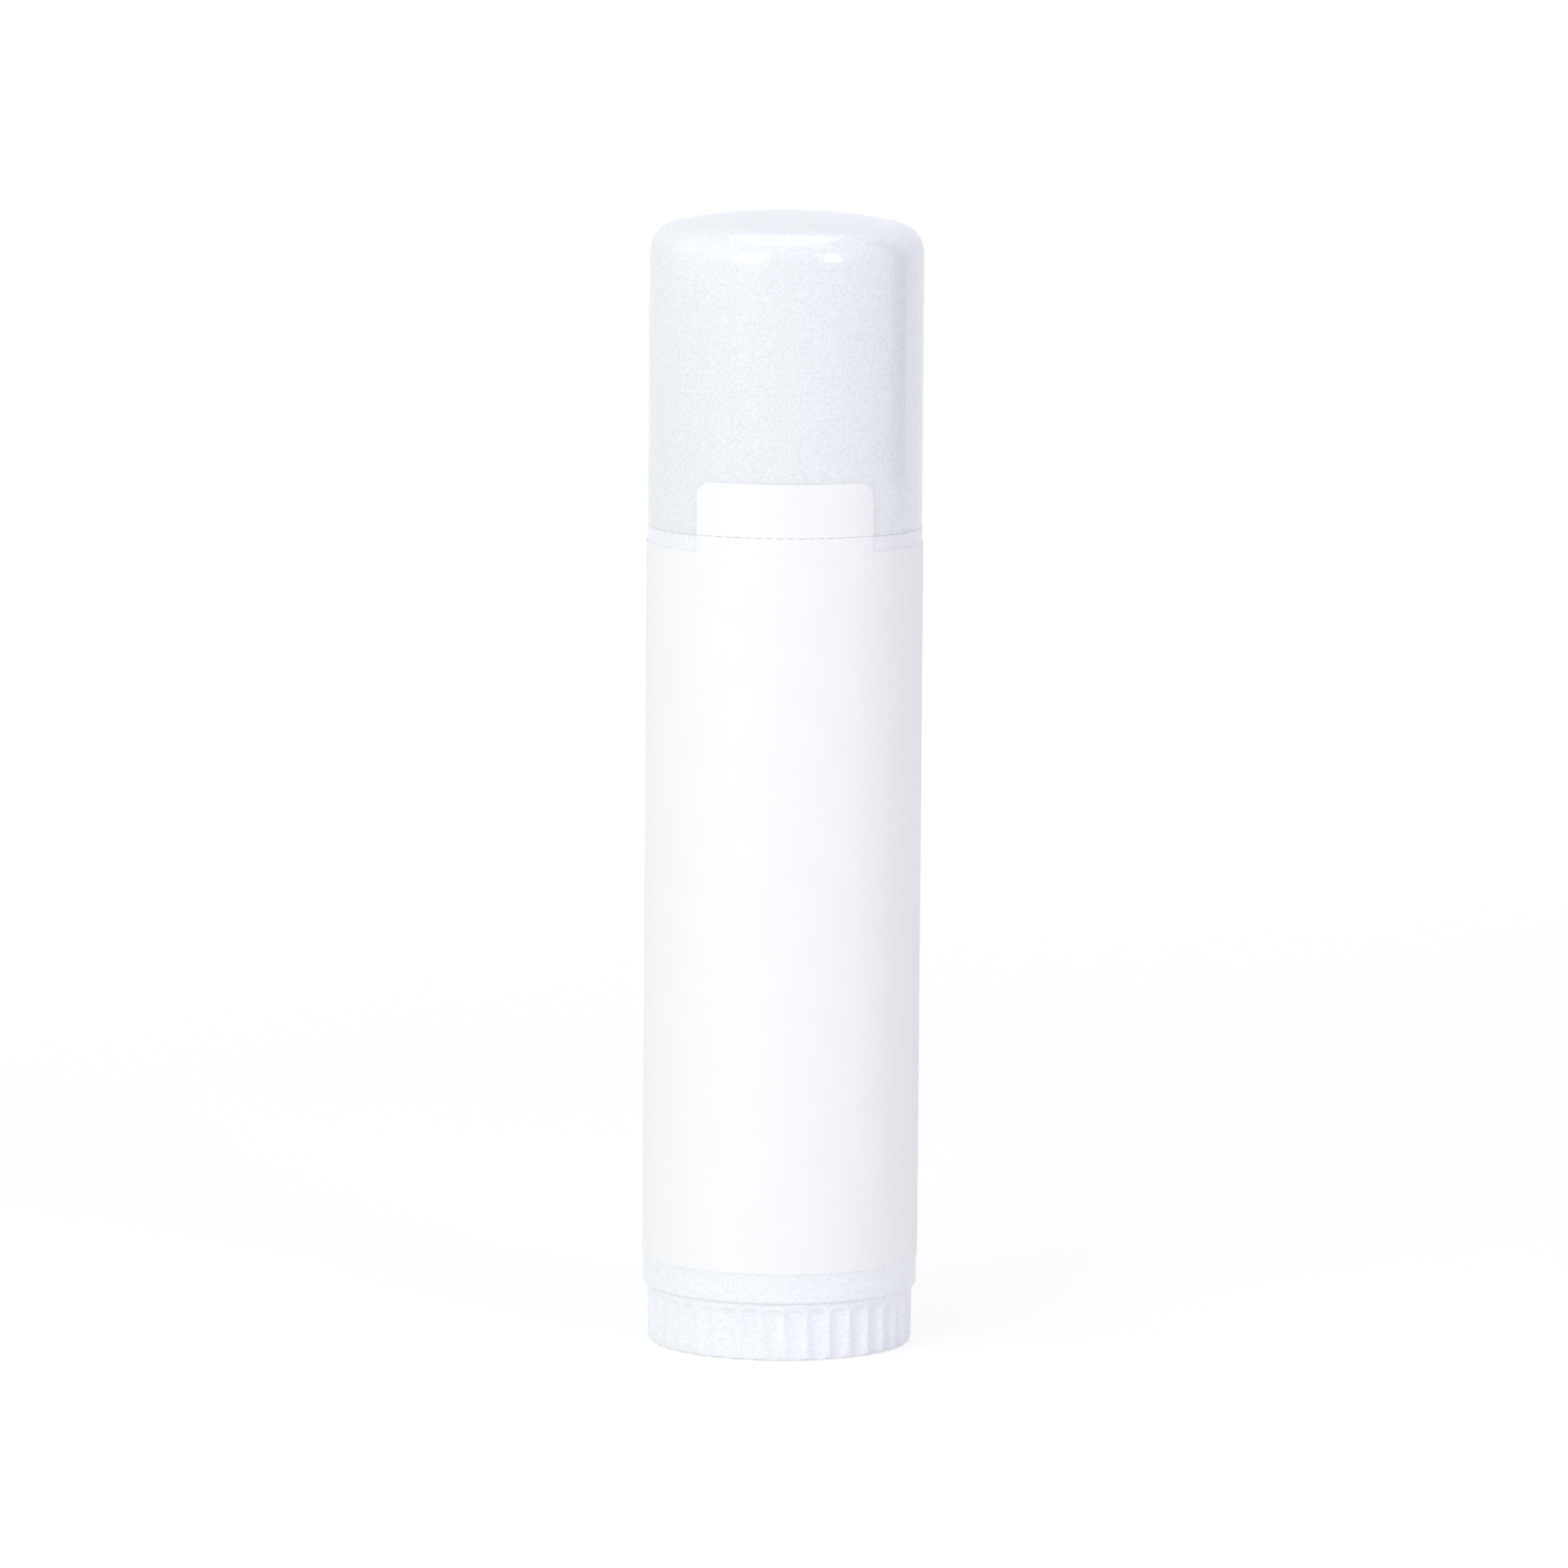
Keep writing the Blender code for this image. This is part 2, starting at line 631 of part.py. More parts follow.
def make_label(parts, tools):
    tongue_top = CAP_RIM - TAB_SETBACK
    label = flat_plate("label", [wrap_outline(LABEL_RADIUS)], LABEL_FOOT, tongue_top, parts)
    above = flat_plate(
        "label_above", [circle(LABEL_RADIUS + OVERRUN)], LABEL_TOP, tongue_top + OVERRUN, tools
    )
    tongue = tab_block("label_tongue", LABEL_TOP - OVERRUN, tongue_top + 2 * OVERRUN, False, tools)
    boolean(above, tongue, "DIFFERENCE")
    boolean(label, above, "DIFFERENCE")
    return label


def make_tamper_tab(parts, tools):
    sleeve = [
        (LABEL_RADIUS + LABEL_THICKNESS, CAP_RIM + TAB_RISE + OVERRUN),
        (LABEL_RADIUS + LABEL_THICKNESS, CAP_RIM + TAB_SETBACK),
        (LABEL_RADIUS, CAP_RIM + TAB_SETBACK),
        (LABEL_RADIUS, CAP_RIM + TAB_RISE + OVERRUN),
    ]
    tab = turned("tamper_tab", sleeve, parts)
    block = tab_block("tab_block", CAP_RIM - OVERRUN, CAP_RIM + TAB_RISE, True, tools)
    boolean(tab, block, "INTERSECT")
    return tab


def build():
    clear_scene()
    parts = new_collection("twist_up_sunscreen_stick")
    tools = new_collection("cutters")
    gloss_white = make_material("gloss_white_plastic", colour=(0.90, 0.93, 0.95), roughness=0.22)
    satin_white = make_material("satin_white_plastic", colour=(0.91, 0.93, 0.95), roughness=0.35)
    natural = make_material("natural_plastic", colour=(0.86, 0.88, 0.88), roughness=0.40, subsurface=0.2)
    wax = make_material("sunscreen_wax", colour=(0.93, 0.91, 0.84), roughness=0.45, subsurface=0.3)
    film = make_material("label_film", colour=(0.95, 0.95, 0.95), roughness=0.50)

    barrel = finish(make_barrel(parts, tools), satin_white)
    dial_screw = finish(make_dial_screw(parts, tools), satin_white)
    carrier = finish(make_carrier(parts, tools), natural)
    stick = finish(make_stick(parts, tools), wax)
    cap = finish(make_cap(parts, tools), gloss_white)
    label = finish(make_label(parts, tools), film)
    tamper_tab = finish(make_tamper_tab(parts, tools), film)

    # Every origin is on the tube's axis, where each piece turns or slides with what carries it.
    label.parent = barrel
    dial_screw.parent = barrel
    carrier.parent = barrel
    stick.parent = carrier
    cap.parent = stick
    tamper_tab.parent = cap


build()
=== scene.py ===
"""Looks for the twist-up sunscreen stick: fine pieces, materials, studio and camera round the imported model.

Units are metres. +Z runs up the tube's axis and -Y is the front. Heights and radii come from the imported
nodes' boxes; the named sizes below are the details that no box gives.
"""

import math
from collections import namedtuple

import bmesh
import bpy
from mathutils import Matrix, Vector


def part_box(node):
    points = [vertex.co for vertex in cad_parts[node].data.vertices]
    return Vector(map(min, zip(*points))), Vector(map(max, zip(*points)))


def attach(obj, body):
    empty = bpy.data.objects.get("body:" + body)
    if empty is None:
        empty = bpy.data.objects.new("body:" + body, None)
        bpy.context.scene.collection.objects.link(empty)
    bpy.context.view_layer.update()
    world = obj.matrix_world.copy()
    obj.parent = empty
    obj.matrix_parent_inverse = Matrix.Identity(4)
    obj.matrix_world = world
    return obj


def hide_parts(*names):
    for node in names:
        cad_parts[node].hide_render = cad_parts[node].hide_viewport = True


MM = 0.001
FULL_TURN = 2 * math.pi
FRONT = -math.pi / 2
SHARP_ANGLE = math.radians(35)

# What is nearer than this counts as on the axis, or as at the edge of the tab.
AXIS_SLACK = 1e-9
ANGLE_SLACK = 1e-6

# How finely round forms are cut.
ROUND_SEGMENTS = 144
FILLET_STEPS = 4
FILLET_REACH_SHARE = 0.49
BAR_EDGE_SEGMENTS = 3
SHOULDER_STEPS = 14
CROWN_STEPS = 16
CEILING_SHOULDER_STEPS = 8
CEILING_CROWN_STEPS = 10
FOOT_STEPS = 5
FLUTE_STEPS = 12
FLUTE_EASING_SHARE = 0.6
RUN_OUT_STEPS = 6
WALL_STEPS = 7
THREAD_STEPS = 28
WAX_STEPS = 14
GROOVE_STEPS = 6
TAB_CORNER_STEPS = 8

# Camera: the photograph's view, fitted to the tube's outline and its ellipses.
VIEW_DISTANCE = 0.680
VIEW_ELEVATION = math.radians(7.6)
VIEW_ROLL = math.radians(0.428)
AIM_SIDE = 0.05 * MM
AIM_HEIGHT = 32.8 * MM
LENS_MM = 267.5
SENSOR_MM = 36.0
CLIP_NEAR = 0.01
CLIP_FAR = 50.0

# Cap and barrel.
DIAL_GAP = 0.08 * MM
DIAL_LINE = 0.006 * MM
CAP_SEAM = 0.006 * MM
CAP_WALL = 0.75 * MM
CAP_ROOF = 1.10 * MM
CAP_FILLET = 1.80 * MM
CAP_CROWN_RADIUS = 33.0 * MM
CAP_CLEARANCE = 0.20 * MM
CAP_LEAD_IN = 0.30 * MM
GRIP_COUNT = 6
GRIP_WIDTH = 0.7 * MM
GRIP_CLEARANCE = 0.05 * MM
GRIP_EDGE = 0.05 * MM
GRIP_SETBACK = 1.2 * MM
GRIP_LENGTH = 5.0 * MM
SEAM_EDGE = 0.03 * MM
NECK_BEAD = 0.10 * MM
NECK_WALL = 0.95 * MM
NECK_HEIGHT = 9.40 * MM
BEAD_ABOVE_SHOULDER = 3.2 * MM
BEAD_HALF_WIDTH = 0.35 * MM
FOOT_CHAMFER = 0.13 * MM
FOOT_CHAMFER_EDGE = 0.05 * MM
MOUTH_BEVEL = 0.20 * MM
KEY_COUNT = 4
KEY_WIDTH = 0.9 * MM
KEY_HEIGHT = 0.35 * MM
KEY_ROOT = 0.3 * MM
KEY_SETBACK = 1.6 * MM
KEY_EDGE = 0.08 * MM
SOCKET_LEDGE = 0.60 * MM
SOCKET_LEAD_IN = 0.25 * MM
SOCKET_HEADROOM = 0.15 * MM

# Dial and screw.
DIAL_DRAFT = 0.05 * MM
DIAL_TOP_EDGE = 0.08 * MM
DIAL_FOOT_EDGE = 0.25 * MM
COLLAR_HEIGHT = 0.26 * MM
FLUTE_COUNT = 36
FLUTE_DEPTH = 0.25 * MM
FLUTE_LAND = 0.08 * MM
FLUTE_SOFTNESS = 0.018 * MM
FLUTE_RUN_OUT = 0.34 * MM
FLUTE_ARC_DROP = 0.16 * MM
FLUTE_PHASE = math.radians(2)
FLUTE_STRAIGHT_SHARE = 0.7
BASE_RIM = 1.35 * MM
BASE_RECESS = 1.60 * MM
GATE_RADIUS = 1.1 * MM
GATE_HEIGHT = 0.35 * MM
PLUG_HEIGHT = 4.0 * MM
PLUG_CLEARANCE = 0.10 * MM
PLUG_WALL = 1.00 * MM
BOSS_RADIUS = 2.40 * MM
SNAP_DEPTH = 0.23 * MM
SNAP_GROOVE = 0.35 * MM
SNAP_HALF_WIDTH = 0.48 * MM
SNAP_CLEARANCE = 0.12 * MM
SNAP_SLOPE = 0.20 * MM
SPINDLE_ROOT = 1.45 * MM
THREAD_DEPTH = 0.65 * MM
THREAD_PITCH = 3.0 * MM
RIDGE_ROOT_HALF = 0.60 * MM
RIDGE_CREST_HALF = 0.35 * MM
RIDGE_EMBED = 0.35 * MM
THREAD_RUN_OUT = 1.1 * MM
CARRIER_LIFT = 0.25 * MM
LUG_HEIGHT = 2.3 * MM
TIP_CHAMFER = 0.5 * MM

# Stick of sunscreen.
STICK_SHOULDER = 1.3 * MM
STICK_CROWN_RADIUS = 14.0 * MM
WAX_CLEARANCE = 0.05 * MM
CUP_WALL = 0.80 * MM
HUB_WALL = 0.80 * MM
HUB_SETBACK = 0.60 * MM
SLIDE_CLEARANCE = 0.08 * MM
THREAD_CLEARANCE = 0.20 * MM
TIP_RELIEF = 0.60 * MM
KEY_CLEARANCE = 0.10 * MM
GROOVE_WIDTH_SHARE = 0.98

# Label and its tab.
LABEL_GAP = 0.01 * MM
LABEL_THICKNESS = 0.05 * MM
LABEL_TOP_MARGIN = 0.92 * MM
LABEL_OVERLAP = math.radians(24)
LABEL_RAMP = math.radians(9)
LABEL_STEP = math.radians(2)
COLUMN_MARGIN = LABEL_STEP / 4
TAB_CORNER = 0.84 * MM
PERFORATION_PITCH = 0.62 * MM
PERFORATION_CUT = 0.34 * MM
PERFORATION_DEPTH = 0.015 * MM
PERFORATION_SLIT = 0.002 * MM
CUT_EDGE_SHARE = 0.025

# Materials: the usual range of a noise texture, the stretch of flow marks along the tube, the plastic's
# grain, and wear along edges, which on the label is partly dust and partly a painted shadow line. An edge
# counts as marked where the rounded normal turns away from the flat one by the given cosines.
NOISE_LOW = 0.3
NOISE_HIGH = 0.7
FLOW_STRETCH = (1, 1, 0.12)
GRAIN_PER_METRE = 7500
GRAIN_CONTRAST = 0.05
WEAR_REACH = 0.12 * MM
FILM_EDGE_LINE_REACH = 0.03 * MM
EDGE_MARK_STARTS = 0.995
EDGE_MARK_ENDS = 0.90
WEAR_DULLING = 0.2
EDGE_MARK_SAMPLES = 4
WORN_PLASTIC = (0.86, 0.87, 0.87)
# Grey of the label's edges: partly dust, partly a painted shadow line along the cut edges and the overlap's
# step.
FILM_EDGE_DUST_AND_SHADOW = (0.82, 0.82, 0.81)
WORN_WAX = (0.94, 0.92, 0.87)

# Studio: softboxes placed by azimuth to the right of the front and elevation in degrees, and by distance,
# width and height in metres. Each faces the tube, and its brightness is given as radiance.
Softbox = namedtuple("Softbox", "name azimuth elevation distance width height radiance colour")
KEY_COLOUR = (0.975, 1.0, 1.0)
FILL_COLOUR = (0.76, 0.56, 1.0)
SOFTBOXES = [
    Softbox("left_panel", -80, 10, 1.0, 1.2, 1.2, 0.66, KEY_COLOUR),
    Softbox("window_left", -31, 18.5, 0.9, 0.46, 0.56, 3.1, KEY_COLOUR),
    Softbox("window_right", 39.5, 17.5, 0.9, 0.27, 0.48, 3.4, KEY_COLOUR),
    Softbox("top_light", 180, 87, 0.65, 0.45, 0.55, 1.85, KEY_COLOUR),
    Softbox("right_panel", 80, 10, 1.0, 1.0, 1.2, 0.58, FILL_COLOUR),
]
ROOM_LIGHT = (0.424, 0.420, 0.440)
ROOM_REFLECTED = (0.96, 0.985, 1.04)
WHITE = (1.0, 1.0, 1.0)
STAGE_ROUGHNESS = 0.9
FLOOR_SIZE = 8.0
FLOOR_DROP = 0.02 * MM
FLOOR_COLOUR = (0.90, 0.90, 0.90)
FLOOR_SHADE = (0.34, 0.34, 0.34)
FLOOR_GLOW_NEAR = 0.70
FLOOR_GLOW_FAR = 0.94
FLOOR_NEAR = 0.1
FLOOR_FAR = 1.1
FLAG_WIDTH = 0.12
FLAG_HEIGHT = 0.40
FLAG_DISTANCE = 0.30
FLAG_AZIMUTH = math.radians(107)
FLAG_COLOUR = (0.20, 0.20, 0.24)


def fillet_profile(points):
    """Profile points (radius, level) with the corners of (radius, level, fillet) points rounded."""
    rounded = []
    for index, point in enumerate(points):
        corner = Vector(point[:2])
        size = point[2] if len(point) > 2 else 0
        if size == 0:
            rounded.append(tuple(corner))
            continue
        before = Vector(points[index - 1][:2]) - corner
        after = Vector(points[(index + 1) % len(points)][:2]) - corner
        half = before.angle(after) / 2
        room = FILLET_REACH_SHARE * min(before.length, after.length)
        reach = min(size / math.tan(half), room)
        start = corner + before.normalized() * reach
        end = corner + after.normalized() * reach
        for step in range(FILLET_STEPS + 1):
            share = step / FILLET_STEPS
            near = start.lerp(corner, share)
            far = corner.lerp(end, share)
            rounded.append(tuple(near.lerp(far, share)))
    return rounded


def arc(radius_at, level_at, radius, start, end, steps):
    """Profile points on an arc, its angles measured from the +R direction towards +Z."""
    points = []
    for step in range(steps + 1):
        angle = start + (end - start) * step / steps
        points.append((radius_at + radius * math.cos(angle), level_at + radius * math.sin(angle)))
    return points


def domed_end(top, radius, fillet, crown_radius, shoulder_steps=SHOULDER_STEPS, crown_steps=CROWN_STEPS):
    """Profile from the axis at the top out to the wall: a crown arc that runs into a rounded shoulder."""
    drop = math.sqrt((crown_radius - fillet) ** 2 - (radius - fillet) ** 2)
    meeting = math.atan2(drop, radius - fillet)
    crown_level = top - crown_radius
    crown = arc(0, crown_level, crown_radius, math.pi / 2, meeting, crown_steps)
    shoulder = arc(radius - fillet, crown_level + drop, fillet, meeting, 0, shoulder_steps)
    return [(0, top)] + crown[1:-1] + shoulder


def even_angles(count):
    return [FULL_TURN * index / count for index in range(count)]


def smooth(obj):
    obj.data.shade_smooth()
    obj.data.set_sharp_from_angle(angle=SHARP_ANGLE)
    return obj


def object_from(bm, name):
    mesh = bpy.data.meshes.new(name)
    bmesh.ops.recalc_face_normals(bm, faces=bm.faces)
    bm.to_mesh(mesh)
    bm.free()
    obj = bpy.data.objects.new(name, mesh)
    bpy.context.scene.collection.objects.link(obj)
    return smooth(obj)


def lathe(name, profile, angles=None, shape=None):
    """A solid of revolution from a profile, one ring a point.

    A profile that starts and ends on the axis is closed there. shape(radius, level, angle) may change a
    ring's radius round the axis.
    """
    angles = angles or even_angles(ROUND_SEGMENTS)
    bm = bmesh.new()
    rings = []
    for radius, level in profile:
        if radius < AXIS_SLACK:
            rings.append([bm.verts.new((0, 0, level))])
            continue
        ring = []
        for angle in angles:
            reach = shape(radius, level, angle) if shape else radius
            ring.append(bm.verts.new((reach * math.cos(angle), reach * math.sin(angle), level)))
        rings.append(ring)
    on_axis = len(rings[0]) == 1 and len(rings[-1]) == 1
    pairs = list(zip(rings, rings[1:]))
    if not on_axis:
        pairs.append((rings[-1], rings[0]))
    count = len(angles)
    for upper, lower in pairs:
        for index in range(count):
            following = (index + 1) % count
            corners = [upper[index % len(upper)], lower[index % len(lower)]]
            if len(lower) > 1:
                corners.append(lower[following])
            if len(upper) > 1:
                corners.append(upper[following])
            bm.faces.new(corners)
    return object_from(bm, name)


def radial_bars(name, count, width, inner, outer, low, high, edge):
    """Upright bars with rounded edges round the axis, the first at half a pitch from +X."""
    bm = bmesh.new()
    for index in range(count):
        turn = Matrix.Rotation(FULL_TURN * (index + 0.5) / count, 4, "Z")
        place = Matrix.Translation(((inner + outer) / 2, 0, (low + high) / 2))
        size = Matrix.Diagonal((outer - inner, width, high - low, 1))
        bmesh.ops.create_cube(bm, size=1, matrix=turn @ place @ size)
    obj = object_from(bm, name)
    bevel = obj.modifiers.new("Bevel", "BEVEL")
    bevel.width = edge
    bevel.segments = BAR_EDGE_SEGMENTS
    return obj


def helix(name, section, phase, level, turns):
    """A closed ridge of the given section (radius, height) swept up a left-hand helix."""
    bm = bmesh.new()
    steps = round(turns * THREAD_STEPS)
    rings = []
    for step in range(steps + 1):
        angle = phase - FULL_TURN * turns * step / steps
        height = level + THREAD_PITCH * turns * step / steps
        rings.append(
            [bm.verts.new((r * math.cos(angle), r * math.sin(angle), height + h)) for r, h in section]
        )
    for lower, upper in zip(rings, rings[1:]):
        for index in range(len(section)):
            following = (index + 1) % len(section)
            bm.faces.new((lower[index], lower[following], upper[following], upper[index]))
    bm.faces.new(rings[0])
    bm.faces.new(rings[-1])
    return object_from(bm, name)


def put_in_order(elements, place):
    """Sorts a mesh's vertices, edges or faces by where they are."""
    ranks = {element: rank for rank, element in enumerate(sorted(elements, key=place))}
    elements.sort(key=ranks.get)


def film(name, columns, radius_at, rows_at):
    """A thin curved sheet: each column stands at an angle, with its own list of levels.

    A column may have more levels than its neighbour; the rows that both have are joined. The outer face is
    drawn, LABEL_THICKNESS outside radius_at, and thickened inwards.
    """
    bm = bmesh.new()
    stands = []
    for angle in columns:
        reach = radius_at(angle) + LABEL_THICKNESS
        stands.append(
            [bm.verts.new((reach * math.cos(angle), reach * math.sin(angle), z)) for z in rows_at(angle)]
        )
    for left, right in zip(stands, stands[1:]):
        shared = min(len(left), len(right))
        for row in range(shared - 1):
            bm.faces.new((left[row], right[row], right[row + 1], left[row + 1]))
    bm.normal_update()
    bmesh.ops.solidify(bm, geom=bm.faces[:], thickness=LABEL_THICKNESS)
    # Solidify adds what it makes in a different order each time.
    put_in_order(bm.verts, lambda vert: tuple(vert.co))
    put_in_order(bm.edges, lambda edge: tuple(edge.verts[0].co + edge.verts[1].co))
    put_in_order(bm.faces, lambda face: tuple(face.calc_center_median()))
    return object_from(bm, name)


def node_maker(material):
    """Returns a function that adds a node, sets its inputs and gives it back."""
    nodes = material.node_tree.nodes
    links = material.node_tree.links

    def add(kind, inputs=None, **settings):
        node = nodes.new(kind)
        for key, value in settings.items():
            setattr(node, key, value)
        for key, value in (inputs or {}).items():
            if isinstance(value, bpy.types.NodeSocket):
                links.new(value, node.inputs[key])
            else:
                node.inputs[key].default_value = value
        return node

    return add


def start_material(name, ior, subsurface=0.0, subsurface_radius=(1, 1, 1)):
    """A new material with its constant values; its colour, roughness and relief are linked afterwards."""
    material = bpy.data.materials.new(name)
    material.use_nodes = True
    shader = material.node_tree.nodes["Principled BSDF"]
    shader.inputs["IOR"].default_value = ior
    shader.inputs["Subsurface Weight"].default_value = subsurface
    shader.inputs["Subsurface Radius"].default_value = subsurface_radius
    shader.inputs["Subsurface Scale"].default_value = MM
    return material, shader, node_maker(material)


def noise(add, coordinates, per_metre, detail=2.0, roughness=0.5):
    return add(
        "ShaderNodeTexNoise",
        {"Vector": coordinates, "Scale": per_metre, "Detail": detail, "Roughness": roughness},
    ).outputs["Fac"]


def spread(add, value, low, high):
    """Maps a noise's usual range to low and high."""
    return add(
        "ShaderNodeMapRange",
        {"Value": value, "From Min": NOISE_LOW, "From Max": NOISE_HIGH, "To Min": low, "To Max": high},
    ).outputs["Result"]


def mixed(add, factor, first, second):
    """Mixes two colours, of which either may be a node's output."""
    mix = add("ShaderNodeMix", {"Factor": factor}, data_type="RGBA")
    for key, colour in (("A", first), ("B", second)):
        if isinstance(colour, bpy.types.NodeSocket):
            mix.id_data.links.new(colour, mix.inputs[key])
        else:
            mix.inputs[key].default_value = (*colour, 1)
    return mix.outputs["Result"]


def edge_wear_and_shade(add, place, reach, least):
    """A mask of the edges that handling rubs, in patches that fall to least of full strength.

    On the label the same mask also greys the film's cut edges as a painted shadow line.
    """
    eased = add("ShaderNodeBevel", {"Radius": reach}, samples=EDGE_MARK_SAMPLES).outputs["Normal"]
    flat = add("ShaderNodeNewGeometry").outputs["Normal"]
    turned = add("ShaderNodeVectorMath", {0: eased, 1: flat}, operation="DOT_PRODUCT").outputs["Value"]
    edge = add(
        "ShaderNodeMapRange", {"Value": turned, "From Min": EDGE_MARK_STARTS, "From Max": EDGE_MARK_ENDS}
    ).outputs["Result"]
    patches = spread(add, noise(add, place, per_metre=900, detail=4), least, 1)
    return add("ShaderNodeMath", {0: edge, 1: patches}, operation="MULTIPLY").outputs["Value"]


def dulled(add, roughness, wear_and_edge_shade):
    """Roughness raised where the surface is worn."""
    return add(
        "ShaderNodeMath", {0: wear_and_edge_shade, 1: WEAR_DULLING, 2: roughness}, operation="MULTIPLY_ADD"
    ).outputs["Value"]


def moulded_plastic(name, dark, light, gloss, peel_per_metre, peel_height):
    """Moulded polypropylene: colour drift, flow marks, fine grain, orange peel, rubbed spots, worn edges."""
    material, shader, add = start_material(
        name, ior=1.49, subsurface=0.15, subsurface_radius=(0.9, 1.0, 1.1)
    )
    links = material.node_tree.links
    place = add("ShaderNodeTexCoord").outputs["Object"]
    stretched = add("ShaderNodeMapping", {"Vector": place, "Scale": FLOW_STRETCH}).outputs["Vector"]
    drift = noise(add, place, per_metre=70)
    flow = noise(add, stretched, per_metre=420, detail=3)
    both = add("ShaderNodeMath", {0: drift, 1: flow}, operation="ADD").outputs["Value"]
    half = add("ShaderNodeMath", {0: both, 1: 0.5}, operation="MULTIPLY").outputs["Value"]
    resin = mixed(add, spread(add, half, 0, 1), dark, light)
    grain = noise(add, place, per_metre=GRAIN_PER_METRE, detail=0)
    speckle = spread(add, grain, 1 - GRAIN_CONTRAST, 1 + GRAIN_CONTRAST)
    grainy = add("ShaderNodeVectorMath", {0: resin, "Scale": speckle}, operation="SCALE").outputs["Vector"]
    wear_and_edge_shade = edge_wear_and_shade(add, place, WEAR_REACH, least=0)
    links.new(mixed(add, wear_and_edge_shade, grainy, WORN_PLASTIC), shader.inputs["Base Color"])
    rubbed = noise(add, place, per_metre=260, detail=6, roughness=0.7)
    links.new(dulled(add, spread(add, rubbed, *gloss), wear_and_edge_shade), shader.inputs["Roughness"])
    peel = noise(add, place, per_metre=peel_per_metre)
    ripple = noise(add, stretched, per_metre=600, detail=1)
    relief = add("ShaderNodeMath", {0: peel, 1: ripple}, operation="ADD").outputs["Value"]
    bump = add("ShaderNodeBump", {"Strength": 1.0, "Distance": peel_height, "Height": relief})
    links.new(bump.outputs["Normal"], shader.inputs["Normal"])
    return material


def label_film(name, dark, light, gloss, tooth_height):
    """Coated label film: fine paper tooth, faint glue mottling, a low sheen; edges greyed by dust and painted
    shadow.
    """
    material, shader, add = start_material(name, ior=1.45)
    links = material.node_tree.links
    place = add("ShaderNodeTexCoord").outputs["Object"]
    mottle = noise(add, place, per_metre=380, detail=5, roughness=0.6)
    clean = mixed(add, spread(add, mottle, 0, 1), dark, light)
    # The edges' grey is partly dust and partly a painted shadow line along the cut edges and the overlap's
    # step.
    wear_and_edge_shade = edge_wear_and_shade(add, place, FILM_EDGE_LINE_REACH, least=0.4)
    links.new(mixed(add, wear_and_edge_shade, clean, FILM_EDGE_DUST_AND_SHADOW), shader.inputs["Base Color"])
    links.new(dulled(add, spread(add, mottle, *gloss), wear_and_edge_shade), shader.inputs["Roughness"])
    tooth = noise(add, place, per_metre=5200, detail=3, roughness=0.6)
    bump = add("ShaderNodeBump", {"Strength": 1.0, "Distance": tooth_height, "Height": tooth})
    links.new(bump.outputs["Normal"], shader.inputs["Normal"])
    return material


def sunscreen_wax(name, dark, light, gloss, pores_per_metre, pore_height):
    """Cast sunscreen: creamy and translucent, with soft clouding, fine pores and bloom on its edges."""
    material, shader, add = start_material(
        name, ior=1.44, subsurface=0.35, subsurface_radius=(1.8, 1.4, 1.0)
    )
    links = material.node_tree.links
    place = add("ShaderNodeTexCoord").outputs["Object"]
    cloud = noise(add, place, per_metre=220, detail=4)
    cream = mixed(add, spread(add, cloud, 0, 1), dark, light)
    wear_and_edge_shade = edge_wear_and_shade(add, place, WEAR_REACH, least=0.2)
    links.new(mixed(add, wear_and_edge_shade, cream, WORN_WAX), shader.inputs["Base Color"])
    links.new(dulled(add, spread(add, cloud, *gloss), wear_and_edge_shade), shader.inputs["Roughness"])
    pores = add("ShaderNodeTexVoronoi", {"Vector": place, "Scale": pores_per_metre}).outputs["Distance"]
    soft = noise(add, place, per_metre=900, detail=3)
    relief = add("ShaderNodeMath", {0: pores, 1: soft}, operation="ADD").outputs["Value"]
    bump = add("ShaderNodeBump", {"Strength": 0.6, "Distance": pore_height, "Height": relief})
    links.new(bump.outputs["Normal"], shader.inputs["Normal"])
    return material


def give(obj, material):
    obj.data.materials.clear()
    obj.data.materials.append(material)
    return obj


def dress(obj, material, body, slot, *nodes):
    """Gives a new piece its material and body, and hides the nodes that it stands for. Its slot is not used.
    """
    give(obj, material)
    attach(obj, body)
    if nodes:
        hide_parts(*nodes)
    return obj


def make_cap(material):
    low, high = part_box("cap")
    rim_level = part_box("barrel")[1].z - NECK_HEIGHT + CAP_SEAM
    radius = high.x
    bore = radius - CAP_WALL
    dome = domed_end(high.z, radius, CAP_FILLET, CAP_CROWN_RADIUS)
    ceiling = domed_end(
        high.z - CAP_ROOF,
        bore,
        CAP_FILLET - CAP_WALL,
        CAP_CROWN_RADIUS - CAP_ROOF,
        CEILING_SHOULDER_STEPS,
        CEILING_CROWN_STEPS,
    )
    rim = fillet_profile(
        [
            dome[-1],
            (radius, rim_level, SEAM_EDGE),
            (bore + CAP_LEAD_IN, rim_level, SEAM_EDGE),
            (bore, rim_level + CAP_LEAD_IN, SEAM_EDGE),
            ceiling[-1],
        ]
    )
    cap = lathe("cap_shell", dome + rim[1:-1] + ceiling[::-1])
    dress(cap, material, "cap", "gloss_white_plastic", "cap")
    grips = radial_bars(
        "cap_grips",
        GRIP_COUNT,
        GRIP_WIDTH,
        bore - CAP_CLEARANCE + GRIP_CLEARANCE,
        bore + CAP_WALL / 2,
        low.z + GRIP_SETBACK,
        low.z + GRIP_SETBACK + GRIP_LENGTH,
        GRIP_EDGE,
    )
    dress(grips, material, "cap", "gloss_white_plastic")


